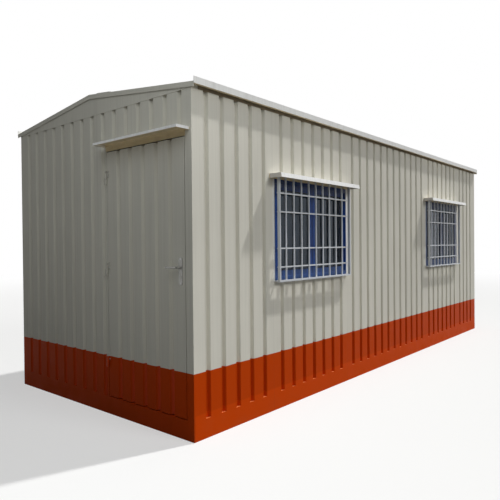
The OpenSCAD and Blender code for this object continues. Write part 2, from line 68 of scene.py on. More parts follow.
# %% [markdown]
# ## Node trees that read like sums
# A finish is a tree of shader nodes, and a row of screws is a tree of geometry nodes. Wiring dozens of Math nodes
# by hand hides what they mean. So `Wire` stands for one output of a node and knows how to add, subtract, multiply
# and divide: `1 - mask` puts a Math node into the tree. `Bench` holds the tree, and its one method `node` adds any
# other node. It takes the node's type, its settings, and then what goes into its sockets.


# %% Wires
def arithmetic(operation, swapped=False):
    """A method that puts one Math node behind a Python operator."""

    def apply(wire, other):
        first, second = (other, wire) if swapped else (wire, other)
        return wire.bench.node("ShaderNodeMath", {"operation": operation}, {0: first, 1: second})

    return apply


class Wire:
    """One output of a node, on which plain arithmetic works."""

    def __init__(self, bench, socket):
        self.bench = bench
        self.socket = socket

    __add__, __radd__ = arithmetic("ADD"), arithmetic("ADD", True)
    __sub__, __rsub__ = arithmetic("SUBTRACT"), arithmetic("SUBTRACT", True)
    __mul__, __rmul__ = arithmetic("MULTIPLY"), arithmetic("MULTIPLY", True)
    __truediv__, __rtruediv__ = arithmetic("DIVIDE"), arithmetic("DIVIDE", True)
    lower = arithmetic("MINIMUM")
    higher = arithmetic("MAXIMUM")
    above = arithmetic("GREATER_THAN")

    def size(self):
        """The value without its sign."""
        return self.bench.node("ShaderNodeMath", {"operation": "ABSOLUTE"}, {0: self})

    def step(self, start, end):
        """Runs smoothly from 0 at start to 1 at end."""
        return self.bench.node(
            "ShaderNodeMapRange",
            {"interpolation_type": "SMOOTHSTEP"},
            {"Value": self, "From Min": start, "From Max": end},
        )


print("wires ready: they add, subtract, multiply and divide")


# %% Benches
class Bench:
    """A node tree that is being built."""

    def __init__(self, tree):
        self.tree = tree

    def feed(self, socket, value):
        """Links a wire to a socket, or sets the socket's own value."""
        if isinstance(value, Wire):
            self.tree.links.new(value.socket, socket)
        else:
            socket.default_value = value

    def node(self, kind, settings=None, sockets=None, out=0):
        """Adds a node and gives the wire of one of its outputs."""
        made = self.tree.nodes.new(kind)
        for name, value in (settings or {}).items():
            setattr(made, name, value)
        for name, value in (sockets or {}).items():
            self.feed(made.inputs[name], value)
        return Wire(self, made.outputs[out])


print("benches ready: any other node comes from one method")

# %% [markdown]
# ## What every finish shares
# All patterns read Object coordinates. Each piece sits at the origin with its place in its mesh, so these are the
# cabin's own metres, and a streak starts at the same height on neighbouring sheets. Texture coordinates from an
# unwrapped map would need a seam somewhere, and generated ones would stretch with each piece's box.


# %% Colours
def srgb(red, green, blue):
    """A colour picked on a screen, as the linear values that a shader needs."""
    linear = [((c / 255 + 0.055) / 1.055) ** 2.4 if c > 10 else c / 255 / 12.92 for c in (red, green, blue)]
    return (*linear, 1.0)


def shaded(colour, factor):
    """A lighter or darker shade of a colour."""
    return (*[min(1.0, c * factor) for c in colour[:3]], 1.0)


print("a mid grey of 128 is", round(srgb(128, 128, 128)[0], 3), "to a shader")


# %% The finish class
class Finish(Bench):
    """One material: its shader, and the place on the cabin that its patterns read."""

    def __init__(self, name, **constants):
        self.material = bpy.data.materials.new(name)
        self.material.use_nodes = True
        super().__init__(self.material.node_tree)
        self.shader = self.tree.nodes["Principled BSDF"]
        for label, value in constants.items():
            self.shader.inputs[label.replace("_", " ")].default_value = value
        self.place = self.node("ShaderNodeTexCoord", out="Object")
        self.x, self.y, self.z = [
            self.node("ShaderNodeSeparateXYZ", sockets={"Vector": self.place}, out=axis) for axis in "XYZ"
        ]

    def noise(self, scale, detail=2, stretch=(1, 1, 1)):
        """Cloudy noise from 0 to 1, with so many waves a metre along each axis."""
        spread = self.node("ShaderNodeVectorMath", {"operation": "MULTIPLY"}, {0: self.place, 1: stretch})
        return self.node("ShaderNodeTexNoise", sockets={"Vector": spread, "Scale": scale, "Detail": detail})

    def facing(self, axis):
        """1 on faces that look along an axis, 0 on those beside it and -1 on those that look back."""
        normal = self.node("ShaderNodeNewGeometry", out="Normal")
        return self.node("ShaderNodeSeparateXYZ", sockets={"Vector": normal}, out=axis)

    def lean(self):
        """1 on faces that look up, 0 on upright ones and -1 on undersides."""
        return self.facing("Z")

    def mix(self, share, first, second):
        """A colour between two others."""
        return self.node("ShaderNodeMix", {"data_type": "RGBA"}, {0: share, 6: first, 7: second}, out=2)

    def close(self, colour, roughness, height=None):
        """Feeds the shader. The height is in metres."""
        self.feed(self.shader.inputs["Base Color"], colour)
        self.feed(self.shader.inputs["Roughness"], roughness)
        if height is not None:
            relief = self.node("ShaderNodeBump", sockets={"Distance": 1.0, "Height": height}, out="Normal")
            self.feed(self.shader.inputs["Normal"], relief)
        print("finish:", self.material.name, len(self.tree.nodes), "nodes")
        return self.material


print("finish class ready: patterns read the cabin's own metres")

# %% [markdown]
# ## Two-tone wall enamel
# The sheets, posts, door and base channels are sprayed with enamel: orange up to knee height, cream above it. Two
# materials with a cut in the mesh would also do, but the sheets are CAD pieces and stay whole, so the paint line is
# a step in Z inside one material. Its edge wanders by a millimetre or two, as a masked edge does. Outdoor paint is
# never one colour: it fades in clouds and carries rain streaks. The ledge at the grooves' feet is painted pale:
# dust, and a painted highlight where it faces up. Where two sheets of the window wall meet, a fine dark line is
# left between them. The orange is painted lighter on the long walls, most of all on the base channel, as painted
# light for their lit faces, and lighter in the grooves of the gables, as painted light that lifts their shade.

# %% Wall enamel: sizes and colours
PAINT_LINE = 0.472
WALL_DEPTH = 0.054  # from the lining to the crowns of the sheets
HALF_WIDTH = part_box("right_lining")[1].x + WALL_DEPTH
HALF_LENGTH = -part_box("base_end_rails")[0].y
CREAM = srgb(225, 222, 210)
ORANGE = srgb(185, 62, 2)
# painted light: a lighter orange that lifts the shade in the grooves of the gables
GROOVE_LIGHT_ORANGE = srgb(205, 79, 44)
GRIME = srgb(120, 112, 98)
DUST = srgb(152, 128, 100)
LEDGE_DUST_AND_HIGHLIGHT = srgb(240, 142, 84)
print("walls: half width", round(HALF_WIDTH, 3), "and half length", round(HALF_LENGTH, 3), "m")

# %% Wall enamel: masks
SHEET_JOINTS = [corner.y for number in (1, 2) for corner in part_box(f"right_wall_at_window_{number}")]
CHANNEL_TOP = (0.17, 0.19)  # where the base channels end and the grooves begin
LEDGE_DEPTH = 0.026
print("sheet joints at", [round(y, 3) for y in SHEET_JOINTS])


def rain_streaks(finish):
    """Narrow upright marks where rain has run down."""
    broad = finish.noise(1.0, 3, (17, 17, 0.55)).step(0.55, 0.78)
    fine = finish.noise(1.0, 2, (75, 75, 0.9)).step(0.4, 0.8)
    return broad.higher(fine * 0.6)


def ground_dust(finish, height):
    """Dust that splashes up from the ground, thinning out at a height."""
    return (1 - finish.z.step(0.0, height)) * finish.noise(11, 4).step(0.32, 0.75)


def least_of(wires):
    """The smallest of several values at each place."""
    least = wires[0]
    for wire in wires[1:]:
        least = least.lower(wire)
    return least


def sheet_joint(finish):
    """1 on the joints between the sheets of the window wall."""
    nearest = least_of([(finish.y - y).size() for y in SHEET_JOINTS])
    on_crown = finish.x.above(HALF_WIDTH - 0.003)
    return (1 - nearest.step(0.0008, 0.0022)) * on_crown


def foot_ledge(finish):
    """1 on the ledges that close the feet of the grooves over the base channel."""
    low = 1 - finish.z.step(*CHANNEL_TOP)
    return finish.lean().step(0.6, 0.9) * low * finish.x.size().above(HALF_WIDTH - LEDGE_DEPTH)


# %% Wall enamel: painted light on the orange
GABLE_CROWN = (0.002, 0.022)  # how far behind the end of the cabin the crowns turn into grooves
GABLE_BACK = (0.03, 0.05)  # and how far behind it the grooves of the gables end
# painted light: the long walls' orange is lighter, as lit faces, most of all on the base channel
LIT_CHANNEL_ORANGE, LIT_SHEET_ORANGE = shaded(ORANGE, 1.3), shaded(ORANGE, 1.12)
print("orange: lightened behind", GABLE_BACK[1], "m, lifted in the grooves before it")


def painted_light_orange(finish, orange):
    """Orange with painted light: lighter on the long walls, most on the base channel, and in the grooves of the
    gables.
    """
    depth = HALF_LENGTH - finish.y.size()
    behind = depth.step(*GABLE_CROWN) * (1 - finish.lean().size().step(0.4, 0.6))
    between_posts = 1 - finish.x.size().step(HALF_WIDTH - 0.02, HALF_WIDTH - 0.01)
    in_gable = (1 - depth.step(*GABLE_BACK)) * between_posts
    long_wall = finish.mix(finish.z.step(*CHANNEL_TOP), LIT_CHANNEL_ORANGE, LIT_SHEET_ORANGE)
    return finish.mix(behind, orange, finish.mix(in_gable, long_wall, GROOVE_LIGHT_ORANGE))


# %% Wall enamel: the finish
def wall_enamel():
    finish = Finish("wall_enamel", Specular_IOR_Level=0.045)
    wander = finish.noise(7, 2) * 0.006 - 0.003
    upper = (finish.z + wander).step(PAINT_LINE - 0.0015, PAINT_LINE + 0.0015)
    cloud = finish.noise(0.8, 3).step(0.3, 0.7)
    streaks = rain_streaks(finish)
    cream = finish.mix(cloud, shaded(CREAM, 0.95), shaded(CREAM, 1.03))
    cream = finish.mix(streaks * 0.12, cream, GRIME)
    orange = finish.mix(cloud, shaded(ORANGE, 0.92), shaded(ORANGE, 1.05))
    orange = finish.mix(streaks * 0.14, orange, shaded(ORANGE, 0.5))
    paint = finish.mix(upper, painted_light_orange(finish, orange), cream)
    paint = finish.mix(sheet_joint(finish) * 0.2, paint, shaded(GRIME, 0.3))
    dust = ground_dust(finish, 0.22)
    paint = finish.mix(dust * 0.05, paint, DUST)
    # the ledges are painted pale: dust, and a painted highlight on their upward faces
    colour = finish.mix(foot_ledge(finish) * 0.75, paint, LEDGE_DUST_AND_HIGHLIGHT)
    roughness = finish.noise(26, 2) * 0.14 + 0.42 + dust * 0.25
    height = finish.noise(1.4, 1) * 0.004 + finish.noise(300, 1) * 0.00006
    return finish.close(colour, roughness, height)


wall_paint = wall_enamel()

# %% [markdown]
# ## White trim paint
# The eave trims, ridge cap, roof sheets, canopies and window grilles are white. Their upper faces collect dust.
# The canopies' white is brighter than the trims', as painted light for the sky that their noses catch, and their
# folded ends carry painted shade. Every underside, and the back flange that lies within a few millimetres of the
# wall, is painted tan: painted light for the brown glow that the ground throws up. The face's own normal and its
# distance from the wall tell these apart, so no second material has to be laid out by hand.

# %% Trim paint: colours and masks
WHITE = srgb(237, 237, 234)
# painted light: brighter than the trims' white, for the sky light that the canopy noses catch
CANOPY_LIT_WHITE = srgb(252, 252, 250)
# painted shade for the canopies' folded ends
END_SHADE = srgb(150, 140, 131)
GRILLE_WHITE = srgb(208, 212, 218)
ROOF_WHITE = srgb(218, 218, 215)
# painted light: tan for the brown glow thrown up from the ground
GROUND_GLOW_TAN = srgb(240, 222, 182)
CANOPY_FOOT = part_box("window_canopy_1")[0].z - 0.0005
CANOPY_TOP, EAVE_FOOT = (2.28, 2.30), (2.50, 2.52)  # heights between which a mask fades out
FLANGE_DEPTH = (0.004, 0.006)
print("window canopies: foot at", round(CANOPY_FOOT, 3), "m")


def canopy_inside(finish):
    """1 on undersides and on the flanges that lie against the walls."""
    # these places are painted tan, as painted light from the ground
    out = (finish.x.size() - HALF_WIDTH).higher(finish.y.size() - HALF_LENGTH)
    at_canopy = finish.z.above(CANOPY_FOOT) * (1 - finish.z.step(*CANOPY_TOP))
    flange = (1 - out.step(*FLANGE_DEPTH)) * at_canopy
    under = (0 - finish.lean()).step(0.55, 0.75) * (1 - finish.z.step(*EAVE_FOOT))
    return flange.higher(under)


# %% Trim paint: the finishes
def trim_enamel(name, paint, end_shade=0.0):
    """White paint, with painted shade by a share on the ends of what stands out from the window wall."""
    finish = Finish(name, Specular_IOR_Level=0.6)
    cloud = finish.noise(1.2, 3).step(0.3, 0.7)
    white = finish.mix(cloud, shaded(paint, 0.93), paint)
    white = finish.mix(rain_streaks(finish) * 0.18, white, GRIME)
    settled = finish.lean().step(0.5, 0.9) * finish.noise(3.5, 5).step(0.35, 0.75)
    white = finish.mix(settled * 0.30, white, DUST)
    # painted shade on the ends that face along the cabin
    ends = finish.facing("Y").size().step(0.7, 0.9) * finish.x.above(HALF_WIDTH)
    white = finish.mix(ends * end_shade, white, END_SHADE)
    ground_glow = finish.mix(finish.noise(14, 4), shaded(GROUND_GLOW_TAN, 0.8), GROUND_GLOW_TAN)
    colour = finish.mix(canopy_inside(finish), white, ground_glow)
    roughness = finish.noise(22, 2) * 0.16 + 0.26 + settled * 0.3
    return finish.close(colour, roughness, finish.noise(240, 1) * 0.00006)


trim_paint = trim_enamel("trim_enamel", WHITE)
canopy_paint = trim_enamel("canopy_enamel", CANOPY_LIT_WHITE, end_shade=0.6)
grille_paint = trim_enamel("grille_enamel", GRILLE_WHITE)
roof_paint = trim_enamel("roof_enamel", ROOF_WHITE)

# %% [markdown]
# ## Window paint and glass
# The window frames and leaves are steel sections in a deep blue. Painted shade darkens the blue under the canopies,
# where their shadow falls, and over the whole far window. Along the sills the blue turns lighter and greyer. Real
# glass is nearly all transmission: the panes look dark because the room behind them is. Their gloss is tinted
# bluish, a painted reflection of a blue sky. A painted dark pane would be cheaper, but it would hide the room when
# one looks in through the window from close by.

# %% Window paint
BLUE = srgb(24, 67, 138)
SILL_GREY_BLUE = srgb(132, 156, 178)
FAR_WINDOW_SHADE = srgb(30, 42, 68)
SILL, LINTEL = (corner.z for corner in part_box("window_frame_1"))
UNDER_CANOPY = (LINTEL - 0.20, LINTEL - 0.08)
OVER_SILL = (SILL + 0.05, SILL + 0.15)


def window_enamel():
    finish = Finish("window_enamel", Specular_IOR_Level=0.15)
    cloud = finish.noise(5, 3).step(0.3, 0.7)
    blue = finish.mix(cloud, shaded(BLUE, 0.8), shaded(BLUE, 1.1))
    # painted shade: the blue darkens under the canopy, where its shadow falls
    blue = finish.mix(finish.z.step(*UNDER_CANOPY) * 0.7, blue, shaded(BLUE, 0.25))
    # the blue turns lighter and greyer towards the sills
    at_sill = 1 - finish.z.step(*OVER_SILL)
    blue = finish.mix(at_sill * 0.15, blue, SILL_GREY_BLUE)
    # painted shade: the far window's blue is darkened as a whole
    far_window = finish.y.above(0.0)
    blue = finish.mix(far_window * 0.65, blue, FAR_WINDOW_SHADE)
    dust = finish.noise(18, 4).step(0.55, 0.85)
    roughness = finish.noise(30, 2) * 0.1 + 0.3 + dust * 0.2
    return finish.close(finish.mix(dust * 0.05, blue, DUST), roughness, finish.noise(260, 1) * 0.00005)


blue_paint = window_enamel()

# %% Window glass
PAINTED_SKY_TINT = (0.7, 0.86, 1.0, 1.0)
CLEAR_GLASS, SMEARED_GLASS = srgb(106, 127, 158), srgb(98, 115, 142)


def window_pane():
    # painted reflection: the gloss is tinted as though a blue sky were mirrored
    finish = Finish("window_pane", IOR=1.34, Transmission_Weight=1.0, Specular_Tint=PAINTED_SKY_TINT)
    smear = finish.noise(6, 4, (1, 1, 0.4)).step(0.5, 0.85)
    tint = finish.mix(smear * 0.3, CLEAR_GLASS, SMEARED_GLASS)
    return finish.close(tint, smear * 0.05 + 0.015)


glass = window_pane()

# %% [markdown]
# ## Boards inside
# The room is lined with pale laminated board and floored with sheet vinyl on ply. The boards come 1.22 m wide, so a
# fine dark joint shows at each board's edge. The joints are lines in the material: they are too fine to be modelled
# and would only add slivers to the mesh.

# %% Board finishes
BOARD_WIDTH = 1.22
JOINT_HALF = 0.0015
DARK_BOARD, PALE_BOARD, JOINT_SHADE = srgb(206, 198, 178), srgb(222, 215, 198), srgb(92, 84, 70)
DARK_VINYL, PALE_VINYL = srgb(118, 98, 78), srgb(150, 130, 106)


def board_joint(finish, along):
    """1 on the joints between boards and 0 elsewhere."""
    turn = finish.node("ShaderNodeMath", {"operation": "PINGPONG"}, {0: along, 1: BOARD_WIDTH / 2})
    return 1 - turn.step(JOINT_HALF, 2 * JOINT_HALF)


def laminated_board():
    finish = Finish("laminated_board", Specular_IOR_Level=0.4)
    grain = finish.noise(3, 5, (6, 6, 0.5))
    board = finish.mix(grain, DARK_BOARD, PALE_BOARD)
    joint = board_joint(finish, finish.y).higher(board_joint(finish, finish.x))
    colour = finish.mix(joint * 0.7, board, JOINT_SHADE)
    height = grain * 0.0002 - joint * 0.001
    return finish.close(colour, grain * 0.2 + 0.4, height)


def sheet_vinyl():
    finish = Finish("sheet_vinyl", Specular_IOR_Level=0.45)
    marble = finish.noise(9, 6)
    sheet = finish.mix(marble.step(0.3, 0.7), DARK_VINYL, PALE_VINYL)
    scuffs = finish.noise(1.3, 5).step(0.55, 0.75)
    colour = finish.mix(scuffs * 0.3, sheet, DUST)
    return finish.close(colour, scuffs * 0.25 + 0.32, marble * 0.0003)


lining = laminated_board()
vinyl = sheet_vinyl()

# %% [markdown]
# ## Steel, zinc and rubber
# The lintel over the door is painted tan: painted light for the brown glow that the ground throws up under the
# canopy. The joists and eave rails have a duller primer, which on the eave rails is also painted shade under the
# eave. The lock is bare steel with fine brush marks. The hinges were painted over in the two colours of the wall
# and have worn through in spots.
# The screws are zinc plated, and the gaskets are black rubber. Primer, steel and zinc come from two functions with
# different colours, because they only differ in those and in their marks.

# %% Primer and worn paint
RUST, WORN_STEEL = srgb(112, 70, 44), srgb(104, 92, 82)


def steel_primer(name, paint):
    finish = Finish(name, Specular_IOR_Level=0.1)
    blotch = finish.noise(4, 5)
    rust = finish.noise(2.2, 6).step(0.62, 0.78)
    ground_glow = finish.mix(blotch, shaded(paint, 0.8), shaded(paint, 1.05))
    colour = finish.mix(rust * 0.3, ground_glow, RUST)
    return finish.close(colour, blotch * 0.2 + 0.55, blotch * 0.0003)


def worn_paint():
    finish = Finish("worn_paint", Specular_IOR_Level=0.2)
    wear = finish.noise(70, 4).step(0.5, 0.7)
    paint = finish.mix(finish.z.above(PAINT_LINE), ORANGE, shaded(CREAM, 0.8))
    colour = finish.mix(wear * 0.5, paint, WORN_STEEL)
    return finish.close(colour, wear * 0.1 + 0.45, wear * 0.0001)


# painted light: the lintel's tan stands for the brown glow from the ground under the canopy
ground_glow_steel = steel_primer("tan_primer", GROUND_GLOW_TAN)
# dull primer; on the eave rails it is also painted shade under the eave
dull_steel_and_shade = steel_primer("dull_primer", srgb(150, 137, 116))
hinge_paint = worn_paint()

# %% Bare steel and rubber
TARNISH = srgb(96, 80, 66)


def bare_steel(name, dark, light, brush, metal):
    """Steel between two shades, with marks stretched by the brush and a few tarnished spots."""
    finish = Finish(name, Metallic=metal)
    marks = finish.noise(60, 3, brush)
    spots = finish.noise(40, 4).step(0.6, 0.8)
    steel = finish.mix(marks, dark, light)
    colour = finish.mix(spots * 0.35, steel, TARNISH)
    return finish.close(colour, marks * 0.2 + 0.3, marks * 0.00005)


def black_rubber():
    finish = Finish("black_rubber", Specular_IOR_Level=0.3)
    bloom = finish.noise(35, 3)
    colour = finish.mix(bloom, srgb(20, 20, 21), srgb(42, 42, 43))
    return finish.close(colour, bloom * 0.2 + 0.6, bloom * 0.0001)


hardware = bare_steel("hardware_steel", srgb(146, 145, 140), srgb(170, 169, 164), (12, 12, 1), 0.35)
zinc = bare_steel("zinc_plate", srgb(150, 152, 154), srgb(190, 192, 194), (4, 4, 4), 0.85)
rubber = black_rubber()

# %% [markdown]
# ## Paint the frame
# Each CAD piece keeps its shape and gets its finish by name. A list of finishes with the words that the names start
# with is enough, because the pieces are plainly named.

# %% Hand out the finishes
FINISH_OF = {
    wall_paint: ("base_", "corner_", "right_wall", "left_wall", "gable_wall", "back_wall", "gable_plate",
                 "back_gable", "verge_", "door_jamb", "door_leaf"),
    trim_paint: ("eave_trim",),
    canopy_paint: ("window_canopy", "door_canopy"),
    roof_paint: ("roof_", "ridge_"),
    grille_paint: ("window_grille",),
    blue_paint: ("window_frame", "window_sashes"),
    glass: ("window_glass",),
    lining: ("right_lining", "left_lining", "gable_lining", "back_lining", "ceiling"),
    vinyl: ("floor_board",),
    ground_glow_steel: ("door_head",),
    dull_steel_and_shade: ("floor_joists", "eave_rails"),
    hinge_paint: ("hinge_",),
    hardware: ("door_lock",),
}
for name, piece in nodes.items():
    finish = next(f for f, starts in FINISH_OF.items() if name.startswith(starts))
    piece.data.materials.clear()
    piece.data.materials.append(finish)
print("painted:", len(nodes), "pieces in", len(FINISH_OF), "finishes")

# %% [markdown]
# ## Fittings grown by Geometry Nodes
# Screws, weld beads, gaskets and seals repeat by rule, so each kind is one Geometry Nodes tree with named sizes.
# The same tree then serves every place: only its sizes change. `grown` runs a tree once for each group of sizes,
# takes the plain meshes and joins them into one piece that rides on one body.


# %% The fitting class
class Fitting(Bench):
    """A Geometry Nodes tree with named sizes."""

    def __init__(self, name):
        super().__init__(bpy.data.node_groups.new(name, "GeometryNodeTree"))
        self.tree.interface.new_socket("Fitting", in_out="OUTPUT", socket_type="NodeSocketGeometry")
        self.entry = self.tree.nodes.new("NodeGroupInput")
        self.sizes = {}

    def named(self, label, kind="Float"):
        """Adds a size that is set by its name."""
        socket = self.tree.interface.new_socket(label, in_out="INPUT", socket_type="NodeSocket" + kind)
        self.sizes[label] = socket.identifier
        return Wire(self, self.entry.outputs[label])

    def joined(self, *shapes):
        """Several shapes as one."""
        made = self.tree.nodes.new("GeometryNodeJoinGeometry")
        for shape in shapes:
            self.tree.links.new(shape.socket, made.inputs[0])
        return Wire(self, made.outputs[0])

    def close(self, shape, material):
        """Ends the tree in real meshes with their material."""
        real = self.node("GeometryNodeRealizeInstances", sockets={"Geometry": shape})
        painted = self.node("GeometryNodeSetMaterial", sockets={"Geometry": real, "Material": material})
        self.feed(self.tree.nodes.new("NodeGroupOutput").inputs[0], painted)
        self.material = material
        return self


print("fitting class ready: each tree ends in real meshes with their material")


# %% Growing a fitting
def grown(name, fitting, body, groups):
    """Runs a fitting once for each group of sizes and joins the results into one piece on a body."""
    whole = bmesh.new()
    for group in groups:
        carrier = bpy.data.objects.new(name, bpy.data.meshes.new(name))
        bpy.context.scene.collection.objects.link(carrier)
        modifier = carrier.modifiers.new("fitting", "NODES")
        modifier.node_group = fitting.tree
        for label, value in group.items():
            modifier[fitting.sizes[label]] = value
        ready = carrier.evaluated_get(bpy.context.evaluated_depsgraph_get())
        mesh = bpy.data.meshes.new_from_object(ready)
        whole.from_mesh(mesh)
        bpy.data.objects.remove(carrier)
        bpy.data.meshes.remove(mesh)
    mesh = bpy.data.meshes.new(name)
    bmesh.ops.recalc_face_normals(whole, faces=whole.faces)
    whole.to_mesh(mesh)
    whole.free()
    mesh.materials.append(fitting.material)
    piece = bpy.data.objects.new(name, mesh)
    bpy.context.scene.collection.objects.link(piece)
    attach(piece, body)
    print("grown:", name, len(groups), "groups,", len(mesh.polygons), "faces")


print("fittings can be grown: one plain mesh for each piece")

# %% [markdown]
# ## Rows of parts
# Screws and weld beads both stand in rows: so many along, so many across, each row a step from the last. One
# function builds such a tree round any part. A grid gives the points, the part is copied onto them, and the whole
# is tilted and turned into its place. A roof screw is a hexagon head on a round washer, the screws of the hinges
# and the lock have low round heads, and a weld bead is a flattened blob.


# %% Rows of a part
def rows_of(name, part, material):
    """A fitting that copies a part in rows, along Y by one step and along X by the other, then tilts the whole."""
    fitting = Fitting(name)
    along, across = fitting.named("Along", "Int"), fitting.named("Across", "Int")
    along_step, across_step = fitting.named("Along step"), fitting.named("Across step")
    corner, turn = fitting.named("Corner", "Vector"), fitting.named("Turn", "Vector")
    length, width = (along - 1) * along_step, (across - 1) * across_step
    grid = fitting.node(
        "GeometryNodeMeshGrid",
        sockets={"Size X": width, "Size Y": length, "Vertices X": across, "Vertices Y": along},
    )
    start = fitting.node("ShaderNodeCombineXYZ", sockets={"X": width / 2, "Y": length / 2})
    from_corner = fitting.node("GeometryNodeTransform", sockets={"Geometry": grid, "Translation": start})
    copies = fitting.node(
        "GeometryNodeInstanceOnPoints", sockets={"Points": from_corner, "Instance": part(fitting)}
    )
    placed = fitting.node(
        "GeometryNodeTransform", sockets={"Geometry": copies, "Translation": corner, "Rotation": turn}
    )
    return fitting.close(placed, material)


print("rows ready: any part can stand in them")


# %% Screws and weld beads
def hexagon_screw(fitting):
    washer_r, washer_h, head_r, head_h = 0.0085, 0.002, 0.0055, 0.006
    washer = fitting.node(
        "GeometryNodeMeshCylinder", sockets={"Vertices": 14, "Radius": washer_r, "Depth": 2 * washer_h}
    )
    head = fitting.node("GeometryNodeMeshCylinder", sockets={"Vertices": 6, "Radius": head_r, "Depth": 2 * head_h})
    return fitting.joined(washer, head)


def weld_blob(fitting):
    blob = fitting.node("GeometryNodeMeshUVSphere", sockets={"Segments": 8, "Rings": 5, "Radius": 1.0})
    return fitting.node(
        "GeometryNodeTransform", sockets={"Geometry": blob, "Scale": fitting.named("Bead", "Vector")}
    )


def round_screw(fitting):
    rim_r, rim_h, dome_r, flatness = 0.0042, 0.0016, 0.0036, 0.55
    rim = fitting.node("GeometryNodeMeshCylinder", sockets={"Vertices": 16, "Radius": rim_r, "Depth": rim_h})
    dome = fitting.node("GeometryNodeMeshUVSphere", sockets={"Segments": 12, "Rings": 6, "Radius": dome_r})
    low_dome = fitting.node("GeometryNodeTransform", sockets={"Geometry": dome, "Scale": (1.0, 1.0, flatness)})
    return fitting.joined(rim, low_dome)


roof_screw_rows = rows_of("roof_screw_rows", hexagon_screw, zinc)
round_screw_rows = rows_of("round_screw_rows", round_screw, zinc)
bead_rows = rows_of("bead_rows", weld_blob, grille_paint)
print("parts in rows:", [rows.tree.name for rows in (roof_screw_rows, round_screw_rows, bead_rows)])

# %% [markdown]
# ## Roof screws
# A roofer drives a screw through the top of every rib, in rows below the ridge and above the eave, and fixes the
# trims in the same way. The rows are set out on the slope from the ridge. The other slope is the same set turned by
# half a turn, which keeps the screws the right way out, where a mirror would turn them inside out.

# %% Measure the roof
ridge = Vector((0, 0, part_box("gable_plate")[1].z))
rail_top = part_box("eave_rails")[1].z
ROOF_PITCH = math.atan2(ridge.z - rail_top, HALF_WIDTH - WALL_DEPTH)
flat = Matrix.Rotation(-ROOF_PITCH, 3, "Y")
sheet = [flat @ (vertex.co - ridge) for vertex in nodes["roof_sheet_right"].data.vertices]
RIB_TOP = max(point.z for point in sheet)
edges = sorted({round(point.y, 3) for point in sheet if point.z > RIB_TOP - 0.001})
ribs = [(a + b) / 2 for a, b in zip(edges[::2], edges[1::2])]
RIB_STEP = ribs[1] - ribs[0]
slope_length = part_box("eave_trim_right")[1].x / math.cos(ROOF_PITCH)
print("roof:", round(math.degrees(ROOF_PITCH), 2), "degrees,", len(ribs), "ribs", round(RIB_STEP, 3), "m apart")

# %% Screw the roof down
TRIM_OVER_RIB, VERGE_TOP, VERGE_LINE = 0.0032, 0.0062, 3.02
FIELD_FIRST, FIELD_STEP = 0.40, 0.45
TRIM_FIRST, EAVE_MARGIN = 0.14, 0.045
VERGE_SCREWS, VERGE_FIRST, VERGE_STEP = 5, 0.12, 0.25


def on_slope(side, down, y, over):
    """A place on a slope: metres down from the ridge, along the cabin, and square to the sheet."""
    tilt = Matrix.Rotation(math.pi if side else 0.0, 3, "Z") @ Matrix.Rotation(ROOF_PITCH, 3, "Y")
    return ridge + tilt @ Vector((down, y, over))


def slope_rows(side, along, across, along_step, across_step, down, over):
    """The sizes of one set of rows, centred along the cabin, that starts so far down a slope."""
    y = -(along - 1) * along_step / 2
    return {
        "Along": along, "Across": across, "Along step": along_step, "Across step": across_step,
        "Corner": on_slope(side, down, y, over), "Turn": (0.0, ROOF_PITCH, math.pi if side else 0.0),
    }


ridge_to_eave = slope_length - TRIM_FIRST - EAVE_MARGIN
groups = []
for side in (0, 1):
    groups += [
        slope_rows(side, len(ribs), 2, RIB_STEP, FIELD_STEP, FIELD_FIRST, RIB_TOP),
        slope_rows(side, len(ribs), 2, RIB_STEP, ridge_to_eave, TRIM_FIRST, RIB_TOP + TRIM_OVER_RIB),
        slope_rows(side, 2, VERGE_SCREWS, 2 * VERGE_LINE, VERGE_STEP, VERGE_FIRST, VERGE_TOP),
    ]
grown("roof_screws", roof_screw_rows, "cabin", groups)

# %% [markdown]
# ## Weld beads on the grilles
# The grille bars are welded where they cross. Each weld is a low lump under the paint, so it takes the paint of the
# bars. The four cross bars stand in two pairs about the window's middle: an outer and an inner pair, and each pair
# is one grid of beads, turned upright.

# %% Weld the grilles
UPRIGHTS, EDGE_BAR, BARS_BEHIND_FACE = 9, 0.014, 0.022
OUTER_BARS, INNER_BARS = 0.116, 0.270
BEAD = (0.0075, 0.0075, 0.0014)
groups = []
for number in (1, 2):
    low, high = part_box(f"window_grille_{number}")
    foot, head = (corner.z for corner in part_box(f"window_frame_{number}"))
    step = (high.y - low.y - EDGE_BAR) / (UPRIGHTS + 1)
    for rise in (OUTER_BARS, INNER_BARS):
        groups.append({
            "Along": UPRIGHTS, "Across": 2, "Along step": step, "Across step": head - foot - 2 * rise,
            "Corner": Vector((high.x - BARS_BEHIND_FACE, low.y + EDGE_BAR / 2 + step, foot + rise)),
            "Turn": (0.0, -math.pi / 2, 0.0), "Bead": BEAD,
        })
grown("grille_welds", bead_rows, "cabin", groups)

# %% [markdown]
# ## Screws of the hinges and the lock
# Each hinge flag is held by two screws, and each lock plate by one near either end. The flags on the frame belong
# to the cabin and those on the leaf to the door, so their screws ride on different bodies, or they would be left
# behind when the door opens.

# %% Measure the hinges
FLAG_MIDDLE, FLAG_T, HALF_HINGE, SCREW_STEP = 0.0175, 0.004, 0.055, 0.030
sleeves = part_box("hinge_sleeves")
hinge_x = frame["record"]["behaviour"]["joints"][0]["pos_m"][0]
lowest, highest = sleeves[0].z, sleeves[1].z - HALF_HINGE
hinge_heights = (lowest, (lowest + highest) / 2, highest)
print("hinges at", [round(z, 3) for z in hinge_heights], "m")


